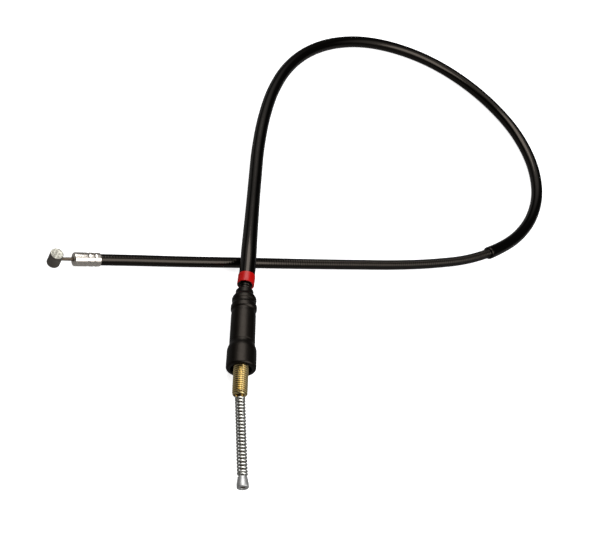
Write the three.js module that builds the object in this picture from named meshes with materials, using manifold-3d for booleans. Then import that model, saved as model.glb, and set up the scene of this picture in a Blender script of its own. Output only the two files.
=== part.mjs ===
// Front brake cable lying on a flat surface: millimetres, Z up, the surface at Z = 0.
import * as THREE from 'three';
import { mergeVertices } from 'three/addons/utils/BufferGeometryUtils.js';
import Module from 'manifold-3d';

const manifold = await Module();
manifold.setup();

// clearances between pieces that touch on the real cable
const seatGap = 0.3;
const wireGap = 0.3;
const looseGap = 0.4;
const wireBoreGap = 0.6;

// inner wire and casing
const wireDiameter = 2.2;
const linerWall = 0.5;
const coilWall = 0.7;
const jacketWall = 0.6;
const layerGap = 0.15;
const casingDiameter = 7.4;
const casingSteps = 76;

// protective sleeve and its band
const sleeveDiameter = 9.8;
const sleeveStartStep = 24;
const sleeveEndStep = 74;
const bandWall = 0.65;
const bandLength = 7.8;

// lever end
const ferruleLength = 17.6;
const ferruleDiameter = 9.0;
const ferruleFrontWall = 2.5;
const ferruleNoseLength = 0.7;
const ferruleNoseDepth = 0.9;
const crimpDepth = 0.3;
const crimpWidth = 1.7;
const firstCrimp = 9.7;
const secondCrimp = 13.8;
const leverNippleDiameter = 8.4;
const leverNippleHeight = 10.3;
const nippleHoleFloor = 1.5;
const leverWireShown = 7.3;
const wireTravel = 18;
const wireOverlap = 1.5;
const brakeWireHidden = 0.7;
const wireSetBack = 0.3;
const wireEndGap = 1;

// straight fittings at the brake end, measured from the boot's neck
const bootStartX = -3.31;
const bootStartY = -28.7;
const bootStartZ = 11.85;
const bootLength = 60.6;
const bootNeckLength = 3.2;
const bootNeckRadius = 6.0;
const bootRingWidth = 3.0;
const firstRing = 5.9;
const firstRingRadius = 8.2;
const secondRing = 12.6;
const secondRingRadius = 8.7;
const bootGrooveRadius = 7.9;
const bootBodyRadius = 8.35;
const bootShoulderLength = 3.2;
const bootCollarLength = 14.4;
const bootCollarRadius = 9.72;
const bootBevelLength = 1.4;
const bootBevelDepth = 1.1;
const bootLipDepth = 4;
const bootLipLength = 5;
const adjusterDiameter = 9.8;
const adjusterBore = 4.9;
const adjusterBevel = 0.9;
const adjusterSocketLength = 22;
const adjusterSocketWall = 1.6;
const adjusterEnd = 79.3;
const endCapLength = 14;
const endCapWall = 0.5;
const endCapFloor = 1.5;
const fittingDroopDegrees = 2;
const fittingYawDegrees = 1.5;
// the spring and the wire turn off the adjuster's axis, from a point this deep in its mouth
const springYawDegrees = -2.8;
const springTurnDepth = 3;
const springOuterDiameter = 6.7;
const springWireDiameter = 1.25;
const springLength = 53;
const springTurns = 24;
const brakeNippleDiameter = 7.3;
const brakeNippleLength = 7.0;
const brakeNippleTaper = 4.6;
const brakeNippleNeckRadius = 2.95;
const brakeNippleBevel = 0.6;

// middle of the lay, which is put at X = 0 and Y = 0
const layCentreX = 78.64;
const layCentreY = 67.7;

// the casing's route from the lever ferrule to the end cap in the boot, before centring
const route = [
  [-115.1, -30.7, 4.5],
  [-98.8, -26.1, 4.5],
  [-77.9, -19.9, 4.1],
  [-46.9, -11.1, 3.74],
  [-12.6, -1.3, 3.74],
  [21.9, 8.5, 3.74],
  [56.6, 18.4, 3.74],
  [91.2, 28.5, 3.74],
  [125.7, 38.8, 3.74],
  [159.9, 50.6, 3.9],
  [193.4, 64.6, 4.6],
  [223.8, 83.5, 4.98],
  [250.7, 107.4, 4.98],
  [271.3, 136.7, 4.98],
  [283.6, 170.5, 4.98],
  [284.5, 206.4, 4.98],
  [272.9, 240.5, 4.98],
  [249.9, 268.1, 4.98],
  [220.0, 287.7, 4.98],
  [186.1, 298.2, 4.98],
  [150.4, 298.9, 4.98],
  [115.7, 290.7, 4.98],
  [84.4, 273.6, 4.98],
  [58.2, 249.4, 4.98],
  [38.2, 219.7, 4.98],
  [24.6, 186.5, 4.98],
  [16.0, 151.7, 4.98],
  [10.6, 116.1, 5.1],
  [6.9, 80.3, 7.0],
  [3.1, 44.7, 10.2],
  [-0.4, 9.0, 12.9],
  [-1.5, -10.0, 12.6],
  [-3.35, -30.2, 11.8],
  [-3.65, -41.2, 11.41],
  [-3.95, -52.6, 11.01],
];

// sizes that follow from the ones above, with the lever's stub still a little inside when pulled right out
const leverWireHidden = wireTravel + wireOverlap;
const wireRadius = wireDiameter / 2;
const casingRadius = casingDiameter / 2;
const sleeveRadius = sleeveDiameter / 2;
const jacketBore = casingRadius - jacketWall;
const coilRadius = jacketBore - layerGap;
const coilBore = coilRadius - coilWall;
const linerRadius = coilBore - layerGap;
const linerBore = linerRadius - linerWall;
const wireBore = wireRadius + wireBoreGap;
const sleeveBore = casingRadius + looseGap;
const bandBore = sleeveRadius + seatGap;
const bandRadius = bandBore + bandWall;
const ferruleRadius = ferruleDiameter / 2;
const ferruleBore = casingRadius + seatGap;
const endCapBore = casingRadius + seatGap;
const endCapRadius = endCapBore + endCapWall;
const adjusterRadius = adjusterDiameter / 2;
const adjusterSocketBore = endCapRadius + seatGap;
const adjusterSocketRadius = adjusterSocketBore + adjusterSocketWall;
const bootCavity = adjusterSocketRadius + seatGap;
const bootNeckBore = casingRadius + looseGap;
const bootLipBore = adjusterRadius + seatGap;
const springRadius = (springOuterDiameter - springWireDiameter) / 2;
const brakeNippleRadius = brakeNippleDiameter / 2;

const object = new THREE.Group();
object.name = 'front_brake_cable';

const finishes = {
  castZinc: [0x8d8c88, 0.55, 0.8],
  strandedSteel: [0xa4a5a6, 0.4, 0.9],
  brightPlate: [0xc9c6c2, 0.18, 1.0],
  blackJacket: [0x0c0b0a, 0.3, 0.0],
  woundSteel: [0x6f7072, 0.45, 0.9],
  linerPlastic: [0xd9d6cc, 0.5, 0.0],
  blackSleeve: [0x0a0908, 0.25, 0.0],
  redPlastic: [0xc60d0d, 0.4, 0.0],
  blackRubber: [0x14110f, 0.7, 0.0],
  yellowPlate: [0xb39a5c, 0.35, 0.9],
  springSteel: [0xb8b9ba, 0.3, 0.9],
};

function finish(name) {
  const [color, roughness, metalness] = finishes[name];
  return new THREE.MeshStandardMaterial({ name, color, roughness, metalness });
}

function layPoint(x, y, z) {
  return new THREE.Vector3(x - layCentreX, y - layCentreY, z);
}

function signedVolume(geometry) {
  const p = geometry.attributes.position;
  const index = geometry.index;
  const count = index ? index.count : p.count;
  const corner = (k) => new THREE.Vector3().fromBufferAttribute(p, index ? index.getX(k) : k);
  let sum = 0;
  for (let k = 0; k < count; k += 3) {
    sum += corner(k).dot(corner(k + 1).cross(corner(k + 2)));
  }
  return sum / 6;
}

// the geometry as one closed skin that faces out
function closedSkin(geometry) {
  geometry.deleteAttribute('normal');
  geometry.deleteAttribute('uv');
  const skin = mergeVertices(geometry, 1e-4);
  if (signedVolume(skin) < 0) {
    const order = skin.index.array;
    for (let k = 0; k < order.length; k += 3) {
      [order[k], order[k + 1]] = [order[k + 1], order[k]];
    }
  }
  skin.computeVertexNormals();
  return skin;
}

function addPiece(name, geometry, finishName) {
  const mesh = new THREE.Mesh(closedSkin(geometry), finish(finishName));
  mesh.name = name;
  object.add(mesh);
}

function polygonPoints(radius, sides) {
  const points = [];
  for (let k = 0; k < sides; k += 1) {
    const angle = (2 * Math.PI * k) / sides;
    points.push(new THREE.Vector2(radius * Math.cos(angle), radius * Math.sin(angle)));
  }
  return points;
}

// a round section, hollow where a bore is given
function roundSection(radius, sides, bore = 0, boreSides = sides) {
  const shape = new THREE.Shape(polygonPoints(radius, sides));
  if (bore > 0) {
    shape.holes.push(new THREE.Path(polygonPoints(bore, boreSides)));
  }
  return shape;
}

const wholeRoute = new THREE.CatmullRomCurve3(route.map((p) => layPoint(...p)), false, 'centripetal');
wholeRoute.arcLengthDivisions = 2000;

// a stretch of the route between two of its steps, so that every layer bends at the same points
class RouteStretch extends THREE.Curve {
  constructor(fromStep, toStep) {
    super();
    this.fromStep = fromStep;
    this.toStep = toStep;
  }

  share(u) {
    return (this.fromStep + (this.toStep - this.fromStep) * u) / casingSteps;
  }

  getPoint(u) {
    return wholeRoute.getPointAt(Math.min(this.share(u), 1));
  }

  getPointAt(u) {
    return this.getPoint(u);
  }

  getTangentAt(u) {
    return wholeRoute.getTangentAt(Math.min(this.share(u), 1));
  }

  getSpacedPoints(steps) {
    return Array.from({ length: steps + 1 }, (_, k) => this.getPoint(k / steps));
  }
}

function tubeOnRoute(section, fromStep, toStep) {
  const extrudePath = new RouteStretch(fromStep, toStep);
  return new THREE.ExtrudeGeometry(section, { steps: Math.round(toStep - fromStep), extrudePath });
}

// a turned piece: [distance along the axis, radius] pairs, closed where the piece has a bore
function turnedPiece(profile, start, direction, segments = 32, closed = true) {
  const points = profile.map(([along, radius]) => new THREE.Vector2(radius, along));
  if (closed) {
    points.push(points[0].clone());
  }
  const geometry = new THREE.LatheGeometry(points, segments);
  const turn = new THREE.Quaternion().setFromUnitVectors(new THREE.Vector3(0, 1, 0), direction);
  geometry.applyQuaternion(turn);
  geometry.translate(start.x, start.y, start.z);
  return geometry;
}

function rod(radius, length, start, direction, sides = 12) {
  const end = start.clone().addScaledVector(direction, length);
  const extrudePath = new THREE.LineCurve3(start, end);
  return new THREE.ExtrudeGeometry(roundSection(radius, sides), { steps: 1, extrudePath });
}

function asSolid(geometry) {
  const skin = closedSkin(geometry);
  const mesh = new manifold.Mesh({
    numProp: 3,
    vertProperties: new Float32Array(skin.attributes.position.array),
    triVerts: new Uint32Array(skin.index.array),
  });
  return new manifold.Manifold(mesh);
}

function asGeometry(solid) {
  const mesh = solid.getMesh();
  const geometry = new THREE.BufferGeometry();
  geometry.setAttribute('position', new THREE.Float32BufferAttribute(mesh.vertProperties, 3));
  geometry.setIndex(Array.from(mesh.triVerts));
  return geometry;
}

// lever end: the ferrule's axis runs from the nipple towards the casing
const casingStart = layPoint(...route[0]);
const leverAxis = layPoint(...route[1]).sub(casingStart).normalize();
const ferruleStart = casingStart.clone().addScaledVector(leverAxis, -ferruleFrontWall - seatGap);
const leverNippleCentre = ferruleStart.clone().addScaledVector(
  leverAxis,
  -leverWireShown - leverNippleDiameter / 2,
);

function makeLeverNipple() {
  const r = leverNippleDiameter / 2;
  const h = leverNippleHeight;
  const edge = 0.5;
  const profile = [[0, 0], [0, r - edge], [edge, r], [h - edge, r], [h, r - edge], [h, 0]];
  const foot = new THREE.Vector3(leverNippleCentre.x, leverNippleCentre.y, 0);
  const barrel = turnedPiece(profile, foot, new THREE.Vector3(0, 0, 1), 32, false);
  const holeFloor = leverNippleCentre.clone().addScaledVector(leverAxis, nippleHoleFloor);
  const hole = rod(wireRadius + wireGap, r, holeFloor, leverAxis);
  addPiece('lever_nipple', asGeometry(asSolid(barrel).subtract(asSolid(hole))), 'castZinc');
}

function makeLeverWire() {
  const start = leverNippleCentre.clone().addScaledVector(leverAxis, nippleHoleFloor + wireGap);
  const inNipple = leverNippleDiameter / 2 - nippleHoleFloor - wireGap;
  const length = inNipple + leverWireShown + leverWireHidden;
  addPiece('wire_lever_end', rod(wireRadius, length, start, leverAxis), 'strandedSteel');
}

function makeLeverFerrule() {
  const r = ferruleRadius;
  const end = ferruleLength;
  const crimp = (middle) => [
    [middle - crimpWidth / 2, r], [middle, r - crimpDepth], [middle + crimpWidth / 2, r],
  ];
  const profile = [
    [0, wireBore], [0, r - ferruleNoseDepth], [ferruleNoseLength, r],
    ...crimp(firstCrimp), ...crimp(secondCrimp),
    [end - 0.3, r - 0.1], [end, r - 0.25],
    [end, ferruleBore], [ferruleFrontWall, ferruleBore], [ferruleFrontWall, wireBore],
  ];
  addPiece('lever_ferrule', turnedPiece(profile, ferruleStart, leverAxis), 'brightPlate');
}

function makeCasing() {
  const jacket = roundSection(casingRadius, 10, jacketBore, 8);
  const coil = roundSection(coilRadius, 8, coilBore, 6);
  const liner = roundSection(linerRadius, 6, linerBore, 6);
  addPiece('casing_jacket', tubeOnRoute(jacket, 0, casingSteps), 'blackJacket');
  addPiece('casing_coil', tubeOnRoute(coil, 0, casingSteps), 'woundSteel');
  addPiece('casing_liner', tubeOnRoute(liner, 0, casingSteps), 'linerPlastic');
}

function makeSleeve() {
  const section = roundSection(sleeveRadius, 12, sleeveBore, 10);
  addPiece('protective_sleeve', tubeOnRoute(section, sleeveStartStep, sleeveEndStep), 'blackSleeve');
}

function makeRedBand() {
  const u = sleeveEndStep / casingSteps;
  const direction = wholeRoute.getTangentAt(u);
  const start = wholeRoute.getPointAt(u).addScaledVector(direction, -bandLength);
  const profile = [[0, bandBore], [0, bandRadius], [bandLength, bandRadius], [bandLength, bandBore]];
  addPiece('red_band', turnedPiece(profile, start, direction), 'redPlastic');
}

// brake end: the fittings' axis runs from the boot's neck to the adjuster's mouth
const bootStart = layPoint(bootStartX, bootStartY, bootStartZ);

function axisAt(yawDegrees) {
  const yaw = THREE.MathUtils.degToRad(yawDegrees);
  const droop = THREE.MathUtils.degToRad(fittingDroopDegrees);
  const level = new THREE.Vector3(-Math.sin(yaw), -Math.cos(yaw), 0);
  return level.multiplyScalar(Math.cos(droop)).setZ(-Math.sin(droop));
}

const fittingAxis = axisAt(fittingYawDegrees);
const springAxis = axisAt(springYawDegrees);

function onFittingAxis(along) {
  return bootStart.clone().addScaledVector(fittingAxis, along);
}

// measured from the adjuster's mouth towards the brake nipple
function onSpringAxis(along) {
  return onFittingAxis(adjusterEnd - springTurnDepth).addScaledVector(springAxis, along + springTurnDepth);
}

// the end cap, its socket and the boot's hollow follow from where the casing ends
const casingEnd = wholeRoute.getPointAt(1).distanceTo(onFittingAxis(0));
const endCapEnd = casingEnd + seatGap + endCapFloor;
const endCapStart = endCapEnd - endCapLength;
const bootHollowStart = endCapStart - seatGap;
const adjusterSocketEnd = endCapStart + adjusterSocketLength;

function makeBoot() {
  const end = bootLength;
  const collar = end - bootCollarLength;
  const lip = end - bootLipDepth;
  const lipStart = lip - bootLipLength;
  const ring = (start, radius) => [
    [start - 0.8, bootGrooveRadius], [start, radius],
    [start + bootRingWidth, radius], [start + bootRingWidth + 0.8, bootGrooveRadius],
  ];
  const profile = [
    [0, bootNeckBore], [0, bootNeckRadius - 0.5], [0.5, bootNeckRadius], [bootNeckLength, bootNeckRadius],
    ...ring(firstRing, firstRingRadius), ...ring(secondRing, secondRingRadius),
    [secondRing + 2 * bootRingWidth, bootBodyRadius - 0.2], [collar - bootShoulderLength, bootBodyRadius],
    [collar, bootCollarRadius], [end - bootBevelLength, bootCollarRadius],
    [end, bootCollarRadius - bootBevelDepth],
    [end, bootCavity], [lip, bootCavity], [lip, bootLipBore], [lipStart, bootLipBore],
    [lipStart, bootCavity], [bootHollowStart, bootCavity], [bootHollowStart, bootNeckBore],
  ];
  addPiece('rubber_boot', turnedPiece(profile, onFittingAxis(0), fittingAxis, 40), 'blackRubber');
}

function makeEndCap() {
  const floor = endCapLength - endCapFloor;
  const profile = [
    [0, endCapBore], [0, endCapRadius], [endCapLength, endCapRadius], [endCapLength, wireBore],
    [floor, wireBore], [floor, endCapBore],
  ];
  const cap = turnedPiece(profile, onFittingAxis(endCapStart), fittingAxis, 24);
  addPiece('casing_end_cap', cap, 'brightPlate');
}

function makeAdjuster() {
  const r = adjusterRadius;
  const bore = adjusterBore / 2;
  const socketFloor = endCapEnd + seatGap;
  const profile = [
    [endCapStart, adjusterSocketBore], [endCapStart, adjusterSocketRadius],
    [adjusterSocketEnd, adjusterSocketRadius], [adjusterSocketEnd, r], [adjusterEnd - adjusterBevel, r],
    [adjusterEnd, r - adjusterBevel], [adjusterEnd, bore],
    [socketFloor, bore], [socketFloor, adjusterSocketBore],
  ];
  addPiece('adjuster', turnedPiece(profile, onFittingAxis(0), fittingAxis), 'yellowPlate');
}

// the spring stands off the adjuster's mouth by the gap and by how much the turn tips its end
const springSeat = seatGap + (springOuterDiameter / 2) * Math.sin(springAxis.angleTo(fittingAxis));

// a compression spring with one closed turn at each end
class SpringPath extends THREE.Curve {
  getPoint(u) {
    const closedPitch = springWireDiameter * 1.2;
    const rise = springLength - springWireDiameter;
    const openPitch = (rise - 2 * closedPitch) / (springTurns - 2);
    const turn = u * springTurns;
    const lowTurn = Math.min(turn, 1);
    const highTurn = Math.max(turn - (springTurns - 1), 0);
    const along = (lowTurn + highTurn) * closedPitch + (turn - lowTurn - highTurn) * openPitch;
    const angle = 2 * Math.PI * turn;
    const side = new THREE.Vector3().crossVectors(springAxis, new THREE.Vector3(0, 0, 1)).normalize();
    const up = new THREE.Vector3().crossVectors(springAxis, side);
    return onSpringAxis(springSeat + springWireDiameter / 2 + along)
      .addScaledVector(side, springRadius * Math.cos(angle))
      .addScaledVector(up, springRadius * Math.sin(angle));
  }
}

function makeSpring() {
  const section = roundSection(springWireDiameter / 2, 6);
  const settings = { steps: springTurns * 10, extrudePath: new SpringPath() };
  addPiece('return_spring', new THREE.ExtrudeGeometry(section, settings), 'springSteel');
}

const brakeNippleStart = springSeat + springLength + seatGap;

function makeBrakeNipple() {
  const r = brakeNippleRadius;
  const length = brakeNippleLength;
  const bore = wireRadius + wireGap;
  const profile = [
    [0, bore], [0, brakeNippleNeckRadius - 0.3], [0.3, brakeNippleNeckRadius], [brakeNippleTaper, r],
    [length - brakeNippleBevel, r], [length, r - brakeNippleBevel], [length, bore],
  ];
  const nipple = turnedPiece(profile, onSpringAxis(brakeNippleStart), springAxis, 28);
  addPiece('brake_nipple', nipple, 'castZinc');
}

// the stub at this end starts just inside the adjuster's mouth and is pushed in by the whole travel
function makeBrakeWire() {
  const length = brakeWireHidden + brakeNippleStart + brakeNippleLength - wireSetBack;
  const stub = rod(wireRadius, length, onSpringAxis(-brakeWireHidden), springAxis);
  addPiece('wire_brake_end', stub, 'strandedSteel');
}

// the wire's middle, from behind the lever's stub to where the brake end's stub never reaches
function makeMiddleWire() {
  const behindStub = leverWireHidden - ferruleFrontWall;
  const first = behindStub / wholeRoute.getLength();
  const points = [wholeRoute.getPointAt(first)];
  for (let step = Math.ceil(first * casingSteps) + 1; step < casingSteps; step += 1) {
    points.push(wholeRoute.getPointAt(step / casingSteps));
  }
  points.push(onFittingAxis(adjusterEnd - brakeWireHidden - wireTravel - wireEndGap));
  const path = new THREE.CurvePath();
  for (let k = 1; k < points.length; k += 1) {
    path.add(new THREE.LineCurve3(points[k - 1], points[k]));
  }
  const settings = { steps: points.length - 1, extrudePath: path };
  path.getSpacedPoints = () => points;
  path.getTangentAt = (u) => wholeRoute.getTangentAt(Math.min(first + (1 - first) * u, 1));
  const middle = new THREE.ExtrudeGeometry(roundSection(wireRadius, 6), settings);
  addPiece('wire_middle', middle, 'strandedSteel');
}

makeLeverNipple();
makeLeverWire();
makeLeverFerrule();
makeCasing();
makeMiddleWire();
makeSleeve();
makeRedBand();
makeBoot();
makeEndCap();
makeAdjuster();
makeSpring();
makeBrakeWire();
makeBrakeNipple();

export default object;
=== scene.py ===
import math

import bmesh
import bpy
import numpy as np
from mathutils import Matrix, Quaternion, Vector


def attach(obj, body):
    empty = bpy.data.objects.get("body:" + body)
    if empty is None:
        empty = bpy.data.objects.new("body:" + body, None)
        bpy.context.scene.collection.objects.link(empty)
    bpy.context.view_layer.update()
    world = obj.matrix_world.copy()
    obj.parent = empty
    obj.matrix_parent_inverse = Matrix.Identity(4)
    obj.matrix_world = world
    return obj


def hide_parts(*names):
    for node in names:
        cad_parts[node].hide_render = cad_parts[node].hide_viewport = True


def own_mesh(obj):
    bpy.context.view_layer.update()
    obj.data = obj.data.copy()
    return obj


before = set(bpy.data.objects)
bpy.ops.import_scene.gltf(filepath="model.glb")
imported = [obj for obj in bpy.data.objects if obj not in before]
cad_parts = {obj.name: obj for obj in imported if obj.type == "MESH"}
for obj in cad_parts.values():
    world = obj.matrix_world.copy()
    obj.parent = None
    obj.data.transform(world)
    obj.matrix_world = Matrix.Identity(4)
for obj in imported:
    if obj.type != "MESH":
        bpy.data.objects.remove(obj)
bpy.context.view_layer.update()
print("frame loaded")

# Everything is in metres. The casing's route is the one that the CAD source uses.
layCentre = (0.07864, 0.0677)
route = [
    (-0.1151, -0.0307, 0.00450),
    (-0.0988, -0.0261, 0.00450),
    (-0.0779, -0.0199, 0.00410),
    (-0.0469, -0.0111, 0.00374),
    (-0.0126, -0.0013, 0.00374),
    (0.0219, 0.0085, 0.00374),
    (0.0566, 0.0184, 0.00374),
    (0.0912, 0.0285, 0.00374),
    (0.1257, 0.0388, 0.00374),
    (0.1599, 0.0506, 0.00390),
    (0.1934, 0.0646, 0.00460),
    (0.2238, 0.0835, 0.00498),
    (0.2507, 0.1074, 0.00498),
    (0.2713, 0.1367, 0.00498),
    (0.2836, 0.1705, 0.00498),
    (0.2845, 0.2064, 0.00498),
    (0.2729, 0.2405, 0.00498),
    (0.2499, 0.2681, 0.00498),
    (0.2200, 0.2877, 0.00498),
    (0.1861, 0.2982, 0.00498),
    (0.1504, 0.2989, 0.00498),
    (0.1157, 0.2907, 0.00498),
    (0.0844, 0.2736, 0.00498),
    (0.0582, 0.2494, 0.00498),
    (0.0382, 0.2197, 0.00498),
    (0.0246, 0.1865, 0.00498),
    (0.0160, 0.1517, 0.00498),
    (0.0106, 0.1161, 0.00510),
    (0.0069, 0.0803, 0.00700),
    (0.0031, 0.0447, 0.01020),
    (-0.0004, 0.0090, 0.01290),
    (-0.0015, -0.0100, 0.01260),
    (-0.00335, -0.0302, 0.01180),
    (-0.00365, -0.0412, 0.01141),
    (-0.00395, -0.0526, 0.01101),
]

cameraView = {
    "place": (-0.29285, -0.49222, 0.509),
    "aim": (-0.03412, -0.06417, 0.0),
    "roll": 38.0,
    "lens": 60,
    "sensor": 36,
}
light = {
    "panelDistance": 1.2,
    "left": {"azimuth": 135, "elevation": 58, "width": 0.95, "height": 0.85, "power": 10.5},
    "right": {"azimuth": 304, "elevation": 53, "width": 1.15, "height": 0.80, "power": 10.5},
    "glowLevel": 0.9,
    "glowFrom": 52,
    "glowTo": 16,
    "roomLevel": 0.1,
    "roomInGloss": 0.02,
    "floorInGloss": 0.2,
    "floorWhite": 0.8,
    "whiteFrom": 0.6,
    "whiteTo": 1.4,
    "floorSize": 30,
    "floorDrop": 0.0001,
}
casing = {
    "diameter": 0.0074,
    "color": (0.0012, 0.0010, 0.0008, 1),
    "roughness": 0.2,
    "coilPitch": 0.00195,
    "ribsFrom": 0.150,
    "ribsEase": 0.02,
    "ribsBefore": 0.12,
    "ribsDepth": 0.00013,
    "steps": 76,
    "ringGap": 0.0025,
}
sleeve = {
    "diameter": 0.0098,
    "bore": 0.0082,
    "startStep": 24,
    "endStep": 74,
    "startFlare": 0.0002,
    "startFlareLength": 0.016,
    "startRings": (0.0002, 0.0006),
    "startRounding": (0.0003, 0.0001),
    "flareDiameter": 0.0109,
    "flareFrom": 0.09,
    "flareLength": 0.06,
    "flareCurve": 1.5,
    "ringGap": 0.003,
    "boreRingGap": 0.006,
    "endRing": 0.0006,
    "endClear": 0.002,
    "color": (0.0010, 0.0009, 0.0008, 1),
    "roughness": 0.16,
}
band = {
    "length": 0.0078,
    "diameter": 0.0117,
    "boreGap": 0.0004,
    "lip": 0.0008,
    "color": (0.52, 0.003, 0.002, 1),
}
ferrule = {
    "length": 0.0176,
    "diameter": 0.0090,
    "frontWall": 0.0025,
    "crimps": (0.0097, 0.0138),
    "crimpWidth": 0.0017,
    "crimpDepth": 0.00022,
    "noseLength": 0.0007,
    "noseDepth": 0.0009,
}
leverNipple = {
    "diameter": 0.0084,
    "height": 0.0103,
    "wireShown": 0.0073,
    "wireStart": 0.003,
    "wireInside": 0.0012,
}
paleFace = {
    "color": (0.60, 0.585, 0.50, 1),
    "edgeBefore": 0.0004,
    "edgeAfter": 0.0001,
    "grainScale": 700,
    "grainDetail": 5,
    "wornFrom": 0.4,
    "wornTo": 0.6,
    "wornLeast": 0.3,
}
boot = {
    "length": 0.0606,
    "collar": 0.0144,
    "color": (0.0020, 0.0016, 0.0013, 1),
    "roughness": 0.36,
}
endCap = {"length": 0.014, "wall": 0.0015}
adjuster = {
    "diameter": 0.0098,
    "bore": 0.0049,
    "end": 0.0793,
    "headRadius": 0.0064,
    "socketRadius": 0.0048,
    "socketLength": 0.022,
    "pitch": 0.0015,
    "threadFrom": 0.046,
    "rootRadius": 0.0036,
    "cutDepth": 0.62,
    "flankSlope": 1.25,
    "crestFlat": 0.12,
    "chamferLength": 0.0012,
    "chamferSlope": 0.9,
    "ringsPerTurn": 14,
    "sides": 56,
    "color": (0.74, 0.55, 0.22, 1),
}
# Painted shade for the thread's grooves: its colour, and where in the groove it begins and where
# it is full.
paintedGrooveShade = {"color": (0.16, 0.10, 0.03, 1), "shallow": 0.3, "deep": 0.1}
spring = {
    "diameter": 0.0067,
    "wire": 0.00125,
    "length": 0.053,
    "turns": 24,
    "closedRise": 1.2,
    "ringsPerTurn": 28,
}
brakeNipple = {
    "diameter": 0.0073,
    "length": 0.0070,
    "neckDiameter": 0.0059,
    "taper": 0.0046,
    "boreRadius": 0.0015,
    "mouthRadius": 0.0017,
}
wire = {
    "diameter": 0.0022,
    "strands": 12,
    "lay": 0.018,
    "strandShare": 0.21,
    "strandSwell": 1.25,
    "coreShare": 0.96,
    "ringGap": 0.0008,
    "fewestRings": 8,
}
seatGap = 0.0003
leverWireHidden = 0.0195
brakeWireHidden = 0.0007
wireSetBack = 0.0003
wireBoreGap = 0.0006
bootStart = np.array([-0.00331 - layCentre[0], -0.0287 - layCentre[1], 0.01185])
springTurnDepth = 0.003
fittingDroop = math.radians(2)
fittingYaw = math.radians(1.5)
springYaw = math.radians(-2.8)


def axisAt(yaw):
    level = math.cos(fittingDroop)
    return np.array([-math.sin(yaw) * level, -math.cos(yaw) * level, -math.sin(fittingDroop)])


fittingAxis = axisAt(fittingYaw)
springAxis = axisAt(springYaw)


def catmullRom(points, perSpan=60):
    p = np.array(points, float)
    p = np.vstack([2 * p[0] - p[1], p, 2 * p[-1] - p[-2]])
    spans = []
    for k in range(1, len(p) - 2):
        a, b, c, d = p[k - 1 : k + 3]
        u, v, w = (np.sum((q - r) ** 2) ** 0.25 for q, r in ((b, a), (c, b), (d, c)))
        leave = ((b - a) / u - (c - a) / (u + v) + (c - b) / v) * v
        arrive = ((c - b) / v - (d - b) / (v + w) + (d - c) / w) * v
        t = np.linspace(0, 1, perSpan, endpoint=k == len(p) - 3)[:, None]
        square = -3 * b + 3 * c - 2 * leave - arrive
        spans.append(b + leave * t + square * t**2 + (2 * b - 2 * c + leave + arrive) * t**3)
    return np.vstack(spans)


centred = [(x - layCentre[0], y - layCentre[1], z) for x, y, z in route]
routePoints = catmullRom(centred)
routeRun = np.concatenate([[0], np.cumsum(np.linalg.norm(np.diff(routePoints, axis=0), axis=1))])
casingLength = float(routeRun[-1])


def onRoute(run):
    run = np.atleast_1d(run)
    return np.stack([np.interp(run, routeRun, routePoints[:, k]) for k in range(3)], axis=1)


def straight(start, axis):
    return lambda run: np.array(start) + np.atleast_1d(run)[:, None] * np.array(axis)


def newMesh(name, points, faces, uvs):
    mesh = bpy.data.meshes.new(name)
    mesh.from_pydata([tuple(p) for p in points], [], faces)
    layer = mesh.uv_layers.new(name="along")
    order = np.zeros(len(mesh.loops), dtype=np.int64)
    mesh.loops.foreach_get("vertex_index", order)
    layer.data.foreach_set("uv", np.array(uvs)[order].astype(np.float32).ravel())
    mesh.shade_smooth()
    mesh.update()
    piece = bpy.data.objects.new(name, mesh)
    bpy.context.scene.collection.objects.link(piece)
    return piece


def unit(v):
    return v / np.linalg.norm(v, axis=-1, keepdims=True)


# Rings of the given radii round a line. radii holds one number a ring, or one row a ring.
def skin(
    name, centres, radii, closed=False, tangents=None, reference=(0, 0, 1), sides=48, runs=None
):
    centres = np.asarray(centres, float)
    count = len(centres)
    if tangents is None:
        tangents = np.gradient(centres, axis=0)
    tangents = unit(np.asarray(tangents, float))
    side = unit(np.cross(tangents, np.broadcast_to(reference, centres.shape)))
    up = np.cross(side, tangents)
    angle = 2 * np.pi * np.arange(sides + 1) / sides
    radii = np.asarray(radii, float).reshape(count, -1)
    radii = np.broadcast_to(radii, (count, sides + 1))
    points = (
        centres[:, None]
        + radii[:, :, None] * np.cos(angle)[None, :, None] * side[:, None]
        + radii[:, :, None] * np.sin(angle)[None, :, None] * up[:, None]
    )
    if runs is None:
        runs = np.concatenate([[0], np.cumsum(np.linalg.norm(np.diff(centres, axis=0), axis=1))])
    around = np.arange(sides + 1)[None] / sides
    uv = np.stack(np.broadcast_arrays(around, np.asarray(runs)[:, None]), axis=2)
    faces = []
    wide = sides + 1
    rings = list(range(count)) + ([0] if closed else [])
    for a, b in zip(rings, rings[1:]):
        for k in range(sides):
            faces.append((a * wide + k, b * wide + k, b * wide + k + 1, a * wide + k + 1))
    points = points.reshape(-1, 3)
    uv = uv.reshape(-1, 2)
    if not closed:
        for ring, order in ((0, 1), (count - 1, -1)):
            faces.append(tuple(ring * wide + k for k in range(sides))[::order])
    return tidySkin(newMesh(name, points, faces, uv))


# Joins the doubled seam and makes every face look out.
def tidySkin(piece):
    work = bmesh.new()
    work.from_mesh(piece.data)
    bmesh.ops.remove_doubles(work, verts=work.verts, dist=1e-8)
    bmesh.ops.recalc_face_normals(work, faces=work.faces)
    work.to_mesh(piece.data)
    work.free()
    return piece


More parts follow.
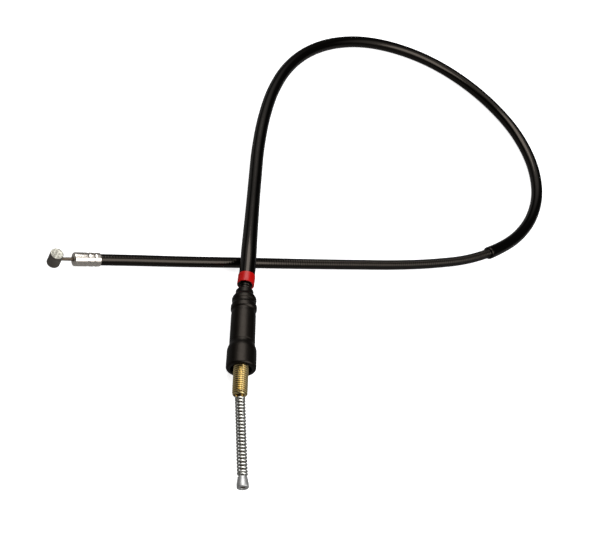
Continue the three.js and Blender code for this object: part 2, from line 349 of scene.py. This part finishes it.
# A profile of (run, radius, corner rounding) turned round a straight axis.
def turned(name, start, axis, profile, closed=True, sides=64, reference=(0, 0, 1), bend=4):
    path = [np.array(p[:2], float) for p in profile]
    rounding = [p[2] if len(p) > 2 else 0 for p in profile]
    outline = []
    count = len(path)
    for k, (corner, r) in enumerate(zip(path, rounding)):
        before, after = path[k - 1], path[(k + 1) % count]
        if not r or (not closed and k in (0, count - 1)):
            outline.append(corner)
            continue
        into = before - corner
        out = after - corner
        r = min(r, np.linalg.norm(into) * 0.5, np.linalg.norm(out) * 0.5)
        first = corner + unit(into) * r
        last = corner + unit(out) * r
        for t in np.linspace(0, 1, bend + 1):
            outline.append((1 - t) ** 2 * first + 2 * t * (1 - t) * corner + t**2 * last)
    outline = np.array(outline)
    centres = straight(start, axis)(outline[:, 0])
    tangents = np.broadcast_to(np.array(axis, float), centres.shape)
    runs = np.concatenate([[0], np.cumsum(np.linalg.norm(np.diff(outline, axis=0), axis=1))])
    piece = skin(name, centres, outline[:, 1], closed, tangents, reference, sides, runs)
    sharpen(piece)
    return piece


def sharpen(piece, degrees=32):
    piece.data.shade_smooth()
    piece.data.set_sharp_from_angle(angle=math.radians(degrees))


def joined(name, pieces):
    bpy.ops.object.select_all(action="DESELECT")
    for piece in pieces:
        piece.select_set(True)
    bpy.context.view_layer.objects.active = pieces[0]
    bpy.ops.object.join()
    pieces[0].name = name
    pieces[0].data.name = name
    pieces[0].select_set(False)
    return pieces[0]


# Materials
def nodeGroup(name, inputs, outputs):
    group = bpy.data.node_groups.new(name, "ShaderNodeTree")
    for label, kind, value in inputs:
        socket = group.interface.new_socket(label, in_out="INPUT", socket_type=kind)
        socket.default_value = value
    for label, kind in outputs:
        group.interface.new_socket(label, in_out="OUTPUT", socket_type=kind)
    return group, group.nodes.new("NodeGroupInput"), group.nodes.new("NodeGroupOutput")


def mathNode(nodes, operation, second=None):
    node = nodes.new("ShaderNodeMath")
    node.operation = operation
    if second is not None:
        node.inputs[1].default_value = second
    return node


def rangeNode(nodes, fromMin, fromMax, toMin=0.0, toMax=1.0):
    node = nodes.new("ShaderNodeMapRange")
    node.inputs["From Min"].default_value = fromMin
    node.inputs["From Max"].default_value = fromMax
    node.inputs["To Min"].default_value = toMin
    node.inputs["To Max"].default_value = toMax
    return node


# Uneven gloss and fine bumps, the same on every handled surface.
def makeHandledSurface():
    group, given, made = nodeGroup(
        "handledSurface",
        [
            ("Roughness", "NodeSocketFloat", 0.3),
            ("Spread", "NodeSocketFloat", 0.1),
            ("Scale", "NodeSocketFloat", 400.0),
            ("Depth", "NodeSocketFloat", 0.00002),
        ],
        [
            ("Roughness", "NodeSocketFloat"),
            ("Normal", "NodeSocketVector"),
            ("Patches", "NodeSocketFloat"),
        ],
    )
    nodes, links = group.nodes, group.links
    place = nodes.new("ShaderNodeTexCoord")
    patches = nodes.new("ShaderNodeTexNoise")
    patches.inputs["Detail"].default_value = 6
    fine = nodes.new("ShaderNodeTexNoise")
    fine.inputs["Detail"].default_value = 8
    fine.inputs["Roughness"].default_value = 0.65
    larger = mathNode(nodes, "MULTIPLY", 0.25)
    spread = mathNode(nodes, "SUBTRACT", 0.5)
    amount = mathNode(nodes, "MULTIPLY_ADD")
    bump = nodes.new("ShaderNodeBump")
    links.new(place.outputs["Object"], patches.inputs["Vector"])
    links.new(place.outputs["Object"], fine.inputs["Vector"])
    links.new(given.outputs["Scale"], fine.inputs["Scale"])
    links.new(given.outputs["Scale"], larger.inputs[0])
    links.new(larger.outputs[0], patches.inputs["Scale"])
    links.new(patches.outputs["Fac"], spread.inputs[0])
    links.new(spread.outputs[0], amount.inputs[0])
    links.new(given.outputs["Spread"], amount.inputs[1])
    links.new(given.outputs["Roughness"], amount.inputs[2])
    links.new(fine.outputs["Fac"], bump.inputs["Height"])
    links.new(given.outputs["Depth"], bump.inputs["Distance"])
    links.new(amount.outputs[0], made.inputs["Roughness"])
    links.new(bump.outputs["Normal"], made.inputs["Normal"])
    links.new(patches.outputs["Fac"], made.inputs["Patches"])
    return group


handledSurface = makeHandledSurface()


def surface(
    name, color, roughness, metallic=0.0, spread=0.1, scale=400, depth=0.00002,
    second=None, specular=0.5, tint=(1, 1, 1, 1),
):
    material = bpy.data.materials.new(name)
    material.use_nodes = True
    nodes, links = material.node_tree.nodes, material.node_tree.links
    shader = nodes["Principled BSDF"]
    shader.inputs["Metallic"].default_value = metallic
    shader.inputs["Specular IOR Level"].default_value = specular
    shader.inputs["Specular Tint"].default_value = tint
    handled = nodes.new("ShaderNodeGroup")
    handled.node_tree = handledSurface
    handled.inputs["Roughness"].default_value = roughness
    handled.inputs["Spread"].default_value = spread
    handled.inputs["Scale"].default_value = scale
    handled.inputs["Depth"].default_value = depth
    links.new(handled.outputs["Roughness"], shader.inputs["Roughness"])
    links.new(handled.outputs["Normal"], shader.inputs["Normal"])
    tone = nodes.new("ShaderNodeMix")
    tone.data_type = "RGBA"
    tone.inputs["A"].default_value = color
    tone.inputs["B"].default_value = second or tuple(0.75 * c for c in color[:3]) + (1,)
    links.new(handled.outputs["Patches"], tone.inputs["Factor"])
    links.new(tone.outputs["Result"], shader.inputs["Base Color"])
    return material


def dress(piece, material, body, *nodes):
    piece.data.materials.clear()
    piece.data.materials.append(material)
    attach(piece, body)
    if nodes:
        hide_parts(*nodes)
    return piece


warmTint = (1, 0.86, 0.73, 1)
jacketMaterial = surface(
    "glossJacket", casing["color"], casing["roughness"],
    spread=0.12, scale=900, depth=0.000008, specular=0.34, tint=warmTint,
)
sleeveMaterial = surface(
    "glossSleeve", sleeve["color"], sleeve["roughness"],
    spread=0.1, scale=700, depth=0.000006, specular=0.34, tint=warmTint,
)
rubberMaterial = surface(
    "bootRubber", boot["color"], boot["roughness"],
    spread=0.15, scale=1500, depth=0.00002, specular=0.2, tint=warmTint,
)
bandMaterial = surface(
    "bandPlastic", band["color"], 0.3, spread=0.15, scale=900, depth=0.00001, specular=0.28
)
plateMaterial = surface(
    "brightPlate", (0.86, 0.79, 0.71, 1), 0.16, 0.88, spread=0.08, scale=300, depth=0.0000015
)
castMaterial = surface(
    "castZinc", (0.060, 0.050, 0.040, 1), 0.5, 0.5,
    spread=0.3, scale=900, depth=0.00005, second=(0.16, 0.145, 0.125, 1),
)
nippleMaterial = surface(
    "platedNipple", (0.56, 0.56, 0.55, 1), 0.42, 0.75,
    spread=0.3, scale=900, depth=0.00004, second=(0.36, 0.36, 0.36, 1),
)
goldMaterial = surface(
    "yellowPlate", adjuster["color"], 0.28, 1.0,
    spread=0.12, scale=250, depth=0.000003, second=(0.86, 0.74, 0.42, 1),
)
springMaterial = surface(
    "springSteel", (0.70, 0.70, 0.655, 1), 0.28, 1.0, spread=0.15, scale=900, depth=0.000005
)
strandMaterial = surface(
    "oiledStrands", (0.13, 0.10, 0.072, 1), 0.4, 0.7,
    spread=0.2, scale=1200, depth=0.00001, second=(0.085, 0.062, 0.042, 1),
)
linerMaterial = surface("linerPlastic", (0.7, 0.68, 0.62, 1), 0.45, spread=0.1, scale=600)


# A piece's UV map holds its turn in X and its run in metres in Y.
def placeOnSkin(material):
    nodes, links = material.node_tree.nodes, material.node_tree.links
    place = nodes.new("ShaderNodeUVMap")
    split = nodes.new("ShaderNodeSeparateXYZ")
    links.new(place.outputs["UV"], split.inputs[0])
    return split


# Lays a colour over the material's own, as far as factor says.
def mixOver(material, factor, color):
    nodes, links = material.node_tree.nodes, material.node_tree.links
    shader = nodes["Principled BSDF"]
    mix = nodes.new("ShaderNodeMix")
    mix.data_type = "RGBA"
    mix.inputs["B"].default_value = color
    bare = shader.inputs["Base Color"].links[0].from_socket
    links.new(factor, mix.inputs["Factor"])
    links.new(bare, mix.inputs["A"])
    links.new(mix.outputs["Result"], shader.inputs["Base Color"])


# A pale machined face on a turned piece, from a run along its outline onwards.
def addPaleFace(material, faceFrom):
    nodes, links = material.node_tree.nodes, material.node_tree.links
    split = placeOnSkin(material)
    edge = rangeNode(nodes, faceFrom - paleFace["edgeBefore"], faceFrom + paleFace["edgeAfter"])
    grain = nodes.new("ShaderNodeTexNoise")
    grain.inputs["Scale"].default_value = paleFace["grainScale"]
    grain.inputs["Detail"].default_value = paleFace["grainDetail"]
    coord = nodes.new("ShaderNodeTexCoord")
    worn = rangeNode(nodes, paleFace["wornFrom"], paleFace["wornTo"], paleFace["wornLeast"])
    amount = mathNode(nodes, "MULTIPLY")
    links.new(split.outputs["Y"], edge.inputs["Value"])
    links.new(coord.outputs["Object"], grain.inputs["Vector"])
    links.new(grain.outputs["Fac"], worn.inputs["Value"])
    links.new(edge.outputs[0], amount.inputs[0])
    links.new(worn.outputs[0], amount.inputs[1])
    mixOver(material, amount.outputs[0], paleFace["color"])


addPaleFace(castMaterial, leverNipple["diameter"] / 2 + leverNipple["height"])


# Ribs of the wound coil under the jacket: bump only, and faint before the crossing.
def addCoilRibs(material):
    nodes, links = material.node_tree.nodes, material.node_tree.links
    shader = nodes["Principled BSDF"]
    split = placeOnSkin(material)
    turns = mathNode(nodes, "MULTIPLY", 2 * math.pi / casing["coilPitch"])
    wave = mathNode(nodes, "SINE")
    first, ease = casing["ribsFrom"], casing["ribsEase"]
    start = rangeNode(nodes, first - ease, first + ease, casing["ribsBefore"])
    height = mathNode(nodes, "MULTIPLY")
    bump = nodes.new("ShaderNodeBump")
    bump.inputs["Distance"].default_value = casing["ribsDepth"]
    links.new(split.outputs["Y"], turns.inputs[0])
    links.new(turns.outputs[0], wave.inputs[0])
    links.new(split.outputs["Y"], start.inputs["Value"])
    links.new(wave.outputs[0], height.inputs[0])
    links.new(start.outputs[0], height.inputs[1])
    links.new(height.outputs[0], bump.inputs["Height"])
    fine = shader.inputs["Normal"].links[0].from_socket
    links.new(fine, bump.inputs["Normal"])
    links.new(bump.outputs["Normal"], shader.inputs["Normal"])


addCoilRibs(jacketMaterial)


# Painted shade in the thread's grooves, darkest at each groove's bottom, along the same helix as
# the cut.
def addPaintedThreadShade(material):
    nodes, links = material.node_tree.nodes, material.node_tree.links
    split = placeOnSkin(material)
    turns = mathNode(nodes, "MULTIPLY", 1 / adjuster["pitch"])
    helix = mathNode(nodes, "SUBTRACT")
    fold = mathNode(nodes, "PINGPONG", 0.5)
    groove = rangeNode(nodes, paintedGrooveShade["shallow"], paintedGrooveShade["deep"])
    links.new(split.outputs["Y"], turns.inputs[0])
    links.new(turns.outputs[0], helix.inputs[0])
    links.new(split.outputs["X"], helix.inputs[1])
    links.new(helix.outputs[0], fold.inputs[0])
    links.new(fold.outputs[0], groove.inputs["Value"])
    # The painted groove shade goes into the base colour.
    mixOver(material, groove.outputs[0], paintedGrooveShade["color"])


addPaintedThreadShade(goldMaterial)

# Camera, then the casing
cameraData = bpy.data.cameras.new("camera")
cameraData.lens = cameraView["lens"]
cameraData.sensor_width = cameraView["sensor"]
cameraObject = bpy.data.objects.new("camera", cameraData)
bpy.context.scene.collection.objects.link(cameraObject)
look = Vector(cameraView["aim"]) - Vector(cameraView["place"])
cameraObject.location = cameraView["place"]
cameraObject.rotation_mode = "QUATERNION"
roll = Quaternion((0, 0, 1), math.radians(cameraView["roll"]))
cameraObject.rotation_quaternion = look.to_track_quat("-Z", "Y") @ roll
bpy.context.scene.camera = cameraObject

casingRuns = np.append(np.arange(0, casingLength, casing["ringGap"]), casingLength)
casingCentres = onRoute(casingRuns)
casingRadii = np.full(len(casingRuns), casing["diameter"] / 2)
casingPiece = skin("casing", casingCentres, casingRadii, sides=32, runs=casingRuns)
dress(casingPiece, jacketMaterial, "casing", "casing_jacket")
print("casing made")


# The sleeve is hollow: out along its outer skin and back along its bore.
def makeSleeve():
    step = casingLength / casing["steps"]
    start, end = sleeve["startStep"] * step, sleeve["endStep"] * step
    outer = sleeve["diameter"] / 2
    bore = sleeve["bore"] / 2
    flare = sleeve["flareDiameter"] / 2
    gap = sleeve["ringGap"]
    along = np.concatenate([
        [start],
        start + np.array(sleeve["startRings"]),
        np.arange(start + gap, end - sleeve["endClear"], gap),
        [end - sleeve["endRing"], end],
    ])
    flared = (along - (end - sleeve["flareFrom"])) / sleeve["flareLength"]
    unflared = (along - start) / sleeve["startFlareLength"]
    wide = np.full(len(along), outer)
    wide += (flare - outer) * np.clip(flared, 0, 1) ** sleeve["flareCurve"]
    wide += sleeve["startFlare"] * np.clip(1 - unflared, 0, 1)
    wide[:2] -= sleeve["startRounding"]
    back = np.arange(end, start, -sleeve["boreRingGap"])
    runs = np.concatenate([along, back, [start]])
    radii = np.concatenate([wide, np.full(len(back) + 1, bore)])
    reach = 0.001
    centres = onRoute(runs)
    ahead = onRoute(np.minimum(runs + reach, casingLength))
    behind = onRoute(np.maximum(runs - reach, 0))
    piece = skin("sleeve", centres, radii, True, ahead - behind, sides=40, runs=runs)
    sharpen(piece, 40)
    dress(piece, sleeveMaterial, "casing", "protective_sleeve")
    return piece, end, flare


sleevePiece, sleeveEnd, sleeveFlare = makeSleeve()


def makeBand():
    end = onRoute(sleeveEnd)[0]
    before = onRoute(sleeveEnd - band["length"])[0]
    axis = unit(end - before)
    length = band["length"]
    outer = band["diameter"] / 2
    inner = sleeve["bore"] / 2 + band["boreGap"]
    profile = [
        (0, sleeveFlare - 0.0001, 0),
        (0, outer, 0.0004),
        (0.0003, outer, 0.0004),
        (length - 0.0002, outer, 0.0004),
        (length, outer - 0.0002, 0.0003),
        (length, inner, 0.0003),
        (length - band["lip"], inner, 0),
    ]
    piece = turned("band", before, axis, profile)
    return dress(piece, bandMaterial, "casing", "red_band")


bandPiece = makeBand()
print("sleeve and band made")

# Lever end
casingStart = np.array(centred[0])
leverAxis = unit(np.array(centred[1]) - casingStart)
ferruleStart = casingStart - leverAxis * (ferrule["frontWall"] + seatGap)
leverReach = leverNipple["wireShown"] + leverNipple["diameter"] / 2
leverNippleCentre = ferruleStart - leverAxis * leverReach


def makeFerrule():
    r = ferrule["diameter"] / 2
    end = ferrule["length"]
    bore = casing["diameter"] / 2 + seatGap
    hole = wire["diameter"] / 2 + wireBoreGap
    profile = [
        (0, hole, 0.0002),
        (0, r - ferrule["noseDepth"], 0.0006),
        (ferrule["noseLength"], r, 0.0005),
    ]
    for middle in ferrule["crimps"]:
        for side in (-1, 1):
            edge = (middle + side * ferrule["crimpWidth"] / 2, r, 0.0003)
            foot = (middle + side * ferrule["crimpWidth"] / 5, r - ferrule["crimpDepth"], 0.0003)
            profile += [edge, foot][::-side]
    profile += [
        (end - 0.0003, r - 0.0001, 0.0003),
        (end, r - 0.0003, 0.0002),
        (end, bore, 0),
        (ferrule["frontWall"], bore, 0),
        (ferrule["frontWall"], hole, 0),
    ]
    piece = turned("ferrule", ferruleStart, leverAxis, profile)
    return dress(piece, plateMaterial, "casing", "lever_ferrule")


def makeLeverNipple():
    r = leverNipple["diameter"] / 2
    h = leverNipple["height"]
    foot = (leverNippleCentre[0], leverNippleCentre[1], 0.0)
    profile = [
        (0, 0, 0), (0, r, 0.0006), (h, r, 0.0006),
        (h, r - 0.0011, 0.0003), (h - 0.0002, r - 0.0014, 0.0002),
        (h - 0.0003, 0.0010, 0.0006), (h - 0.0006, 0, 0),
    ]
    piece = turned("leverNipple", foot, (0, 0, 1), profile, closed=False, reference=(0, 1, 0))
    return dress(piece, castMaterial, "lever_end", "lever_nipple")


# A strand rope: its outer wires wound round a straight core.
def makeStrandedWire(name, start, axis, length):
    axis = unit(np.array(axis, float))
    side = unit(np.cross(axis, (0, 0, 1)))
    up = np.cross(side, axis)
    thin = wire["diameter"] / 2 * wire["strandShare"]
    reach = wire["diameter"] / 2 - thin
    line = straight(start, axis)
    runs = np.linspace(0, length, max(wire["fewestRings"], int(length / wire["ringGap"])))
    core = [reach * wire["coreShare"]] * 2
    parts = [skin(name + "Core", line(runs[[0, -1]]), core, sides=12)]
    for k in range(wire["strands"]):
        angle = 2 * np.pi * (runs / wire["lay"] + k / wire["strands"])
        centres = line(runs) + reach * (
            np.cos(angle)[:, None] * side + np.sin(angle)[:, None] * up
        )
        radii = [thin * wire["strandSwell"]] * len(runs)
        parts.append(skin(name + str(k), centres, radii, sides=8))
    return joined(name, parts)


ferrulePiece = makeFerrule()
leverNipplePiece = makeLeverNipple()
leverWire = makeStrandedWire(
    "leverWire",
    leverNippleCentre + leverAxis * leverNipple["wireStart"],
    leverAxis,
    leverNipple["wireShown"] + leverNipple["wireInside"] + leverWireHidden,
)
dress(leverWire, strandMaterial, "lever_end", "wire_lever_end")
print("lever end made")


# Brake end, measured from the boot's neck
def onFittingAxis(run):
    return bootStart + fittingAxis * run


# Measured from the adjuster's mouth; the spring's axis turns off the adjuster's inside it.
def onSpringAxis(run):
    return onFittingAxis(adjuster["end"] - springTurnDepth) + springAxis * (run + springTurnDepth)


casingEnd = float(np.linalg.norm(routePoints[-1] - bootStart))
endCapEnd = casingEnd + seatGap + endCap["wall"]
endCapStart = endCapEnd - endCap["length"]


def makeBoot():
    end = boot["length"]
    collar = end - boot["collar"]
    hollow = endCapStart - seatGap
    profile = [
        (0, 0.0041, 0), (0, 0.0060, 0.0007), (0.0036, 0.0060, 0.0006),
        (0.0059, 0.0082, 0.0014), (0.0086, 0.0082, 0.0012), (0.0094, 0.0079, 0.0006),
        (0.0115, 0.0079, 0.0006), (0.0124, 0.0087, 0.0010), (0.0156, 0.0087, 0.0010),
        (0.0165, 0.0080, 0.0006), (0.0180, 0.0080, 0.0006), (0.0195, 0.0082, 0.0006),
        (collar - 0.0055, 0.00835, 0.0002), (collar - 0.0052, 0.0082, 0.0002),
        (collar - 0.0032, 0.0084, 0.0010), (collar, 0.0096, 0.0016),
        (end - 0.0010, 0.00975, 0.0014), (end, 0.0090, 0.0010), (end, 0.0069, 0.0004),
        (end - 0.004, 0.0067, 0.0004), (end - 0.004, 0.0052, 0.0004),
        (end - 0.009, 0.0052, 0), (end - 0.009, 0.0067, 0),
        (hollow, 0.0067, 0), (hollow, 0.0041, 0),
    ]
    piece = turned("boot", bootStart, fittingAxis, profile, sides=80)
    dress(piece, rubberMaterial, "casing", "rubber_boot")


# The thread is cut on the bar where it can show, with a chamfered end.
def makeAdjuster():
    r = adjuster["diameter"] / 2
    end = adjuster["end"]
    pitch = adjuster["pitch"]
    sides = adjuster["sides"]
    threadFrom = adjuster["threadFrom"]
    root = adjuster["rootRadius"]
    runs = np.arange(threadFrom, end + 1e-9, pitch / adjuster["ringsPerTurn"])
    angle = np.arange(sides + 1) / sides
    phase = (runs[:, None] / pitch - angle[None]) % 1
    flank = np.abs(phase - 0.5) * 2 * adjuster["flankSlope"] - adjuster["crestFlat"]
    depth = adjuster["cutDepth"] * pitch * np.clip(flank, 0, 1)
    chamfer = np.clip(runs - (end - adjuster["chamferLength"]), 0, 1)[:, None]
    radii = np.minimum(r - depth, r - chamfer * adjuster["chamferSlope"])
    radii = np.maximum(radii, root)
    socket = endCapStart + adjuster["socketLength"]
    seat, head = adjuster["socketRadius"], adjuster["headRadius"]
    floor = endCapEnd + seatGap
    bore = adjuster["bore"] / 2
    lead = np.array([
        [endCapStart, seat], [endCapStart, head], [socket, head], [socket, r],
        [threadFrom - 0.0005, r],
    ])
    inner = np.array([
        [end, root], [end, bore + 0.0003], [end - 0.0004, bore], [floor, bore], [floor, seat],
    ])
    allRuns = np.concatenate([lead[:, 0], runs, inner[:, 0]])
    allRadii = np.vstack([
        np.repeat(lead[:, 1:], sides + 1, axis=1),
        radii,
        np.repeat(inner[:, 1:], sides + 1, axis=1),
    ])
    centres = straight(bootStart, fittingAxis)(allRuns)
    tangents = np.broadcast_to(fittingAxis, centres.shape)
    piece = skin("adjuster", centres, allRadii, True, tangents, sides=sides, runs=allRuns)
    sharpen(piece, 40)
    dress(piece, goldMaterial, "casing", "adjuster")


kink = math.acos(float(np.dot(springAxis, fittingAxis)))
springSeat = seatGap + spring["diameter"] / 2 * math.sin(kink)
brakeNippleStart = springSeat + spring["length"] + seatGap


def makeSpring():
    closedPitch = spring["wire"] * spring["closedRise"]
    rise = spring["length"] - spring["wire"]
    openPitch = (rise - 2 * closedPitch) / (spring["turns"] - 2)
    turn = np.linspace(0, spring["turns"], spring["turns"] * spring["ringsPerTurn"] + 1)
    low = np.minimum(turn, 1)
    high = np.maximum(turn - (spring["turns"] - 1), 0)
    along = (low + high) * closedPitch + (turn - low - high) * openPitch
    side = unit(np.cross(springAxis, (0, 0, 1)))
    up = np.cross(springAxis, side)
    reach = (spring["diameter"] - spring["wire"]) / 2
    angle = 2 * np.pi * turn
    line = straight(onSpringAxis(springSeat + spring["wire"] / 2), springAxis)
    centres = line(along) + reach * (
        np.cos(angle)[:, None] * side + np.sin(angle)[:, None] * up
    )
    radii = [spring["wire"] / 2] * len(turn)
    piece = skin("returnSpring", centres, radii, reference=tuple(springAxis), sides=12)
    dress(piece, springMaterial, "casing", "return_spring")
    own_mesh(piece)


def makeBrakeNipple():
    r = brakeNipple["diameter"] / 2
    neck = brakeNipple["neckDiameter"] / 2
    end = brakeNipple["length"]
    bore = brakeNipple["boreRadius"]
    profile = [
        (0, bore, 0),
        (0, neck, 0.0003),
        (brakeNipple["taper"], r, 0.0006),
        (end, r, 0.0006),
        (end, brakeNipple["mouthRadius"], 0.0003),
        (end - 0.0005, bore, 0.0002),
    ]
    piece = turned("brakeNipple", onSpringAxis(brakeNippleStart), springAxis, profile)
    dress(piece, nippleMaterial, "brake_end", "brake_nipple")


makeBoot()
makeAdjuster()
makeSpring()
makeBrakeNipple()
brakeWireLength = brakeWireHidden + brakeNippleStart + brakeNipple["length"] - wireSetBack
brakeWireStart = onSpringAxis(-brakeWireHidden)
brakeWire = makeStrandedWire("brakeWire", brakeWireStart, springAxis, brakeWireLength)
dress(brakeWire, strandMaterial, "brake_end", "wire_brake_end")
print("brake end made")

# Hidden pieces keep their solids and only get a material.
for nodeName, material in (
    ("casing_coil", strandMaterial), ("casing_liner", linerMaterial),
    ("wire_middle", strandMaterial), ("casing_end_cap", plateMaterial),
):
    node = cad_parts[nodeName]
    node.data.materials.clear()
    node.data.materials.append(material)


# Floor and light
def makeFloor():
    bpy.ops.mesh.primitive_plane_add(size=light["floorSize"], location=(0, 0, -light["floorDrop"]))
    floor = bpy.context.object
    floor.name = "floor"
    material = bpy.data.materials.new("paleFloor")
    material.use_nodes = True
    nodes, links = material.node_tree.nodes, material.node_tree.links
    shader = nodes["Principled BSDF"]
    shader.inputs["Base Color"].default_value = (0.8, 0.8, 0.8, 1)
    shader.inputs["Roughness"].default_value = 0.8
    shader.inputs["Specular IOR Level"].default_value = 0.1
    white = nodes.new("ShaderNodeEmission")
    place = nodes.new("ShaderNodeTexCoord")
    away = nodes.new("ShaderNodeVectorMath")
    away.operation = "LENGTH"
    level = rangeNode(nodes, light["whiteFrom"], light["whiteTo"], light["floorWhite"])
    links.new(place.outputs["Object"], away.inputs[0])
    links.new(away.outputs["Value"], level.inputs["Value"])
    links.new(level.outputs[0], white.inputs["Strength"])
    shaded = nodes.new("ShaderNodeAddShader")
    inGloss = nodes.new("ShaderNodeEmission")
    inGloss.inputs["Strength"].default_value = light["floorInGloss"]
    rays = nodes.new("ShaderNodeLightPath")
    mirrored = mathNode(nodes, "MAXIMUM")
    seen = nodes.new("ShaderNodeMixShader")
    gloss = nodes.new("ShaderNodeMixShader")
    links.new(rays.outputs["Is Glossy Ray"], mirrored.inputs[0])
    links.new(rays.outputs["Is Transmission Ray"], mirrored.inputs[1])
    links.new(mirrored.outputs[0], gloss.inputs[0])
    links.new(shader.outputs[0], gloss.inputs[1])
    links.new(inGloss.outputs[0], gloss.inputs[2])
    links.new(shader.outputs[0], shaded.inputs[0])
    links.new(white.outputs[0], shaded.inputs[1])
    links.new(rays.outputs["Is Camera Ray"], seen.inputs[0])
    links.new(gloss.outputs[0], seen.inputs[1])
    links.new(shaded.outputs[0], seen.inputs[2])
    links.new(seen.outputs[0], nodes["Material Output"].inputs["Surface"])
    floor.data.materials.append(material)


def panelDirection(name):
    azimuth, elevation = (math.radians(light[name][key]) for key in ("azimuth", "elevation"))
    level = math.cos(elevation)
    return Vector((level * math.cos(azimuth), level * math.sin(azimuth), math.sin(elevation)))


# White behind the object, and a dim room with a soft glow round each panel where metal mirrors it.
def makeWorld():
    world = bpy.data.worlds.new("room")
    bpy.context.scene.world = world
    world.use_nodes = True
    nodes, links = world.node_tree.nodes, world.node_tree.links
    room = nodes["Background"]
    room.inputs["Strength"].default_value = light["roomLevel"]
    room.inputs["Color"].default_value = (1, 1, 1, 1)
    white = nodes.new("ShaderNodeBackground")
    white.inputs["Color"].default_value = (1, 1, 1, 1)
    inGloss = nodes.new("ShaderNodeBackground")
    inGloss.inputs["Color"].default_value = (1, 1, 1, 1)
    place = nodes.new("ShaderNodeTexCoord")
    level = light["roomInGloss"]
    for name in ("left", "right"):
        facing = nodes.new("ShaderNodeVectorMath")
        facing.operation = "DOT_PRODUCT"
        facing.inputs[1].default_value = panelDirection(name)
        edge, middle = (math.cos(math.radians(light[key])) for key in ("glowFrom", "glowTo"))
        glow = rangeNode(nodes, edge, middle, 0.0, light["glowLevel"])
        glow.interpolation_type = "SMOOTHSTEP"
        total = mathNode(nodes, "ADD")
        if isinstance(level, float):
            total.inputs[1].default_value = level
        else:
            links.new(level, total.inputs[1])
        links.new(place.outputs["Generated"], facing.inputs[0])
        links.new(facing.outputs["Value"], glow.inputs["Value"])
        links.new(glow.outputs[0], total.inputs[0])
        level = total.outputs[0]
    links.new(level, inGloss.inputs["Strength"])
    rays = nodes.new("ShaderNodeLightPath")
    mirrored = nodes.new("ShaderNodeMixShader")
    seen = nodes.new("ShaderNodeMixShader")
    links.new(rays.outputs["Is Glossy Ray"], mirrored.inputs[0])
    links.new(room.outputs[0], mirrored.inputs[1])
    links.new(inGloss.outputs[0], mirrored.inputs[2])
    links.new(rays.outputs["Is Camera Ray"], seen.inputs[0])
    links.new(mirrored.outputs[0], seen.inputs[1])
    links.new(white.outputs[0], seen.inputs[2])
    links.new(seen.outputs[0], nodes["World Output"].inputs["Surface"])


def addPanel(name):
    values = light[name]
    towards = panelDirection(name)
    data = bpy.data.lights.new(name, "AREA")
    data.shape = "RECTANGLE"
    data.size = values["width"]
    data.size_y = values["height"]
    data.energy = values["power"]
    panel = bpy.data.objects.new(name, data)
    panel.location = towards * light["panelDistance"]
    panel.rotation_mode = "QUATERNION"
    panel.rotation_quaternion = (-towards).to_track_quat("-Z", "Y")
    bpy.context.scene.collection.objects.link(panel)


makeFloor()
makeWorld()
addPanel("left")
addPanel("right")
bpy.context.scene.view_settings.view_transform = "Standard"
print("floor and light made")
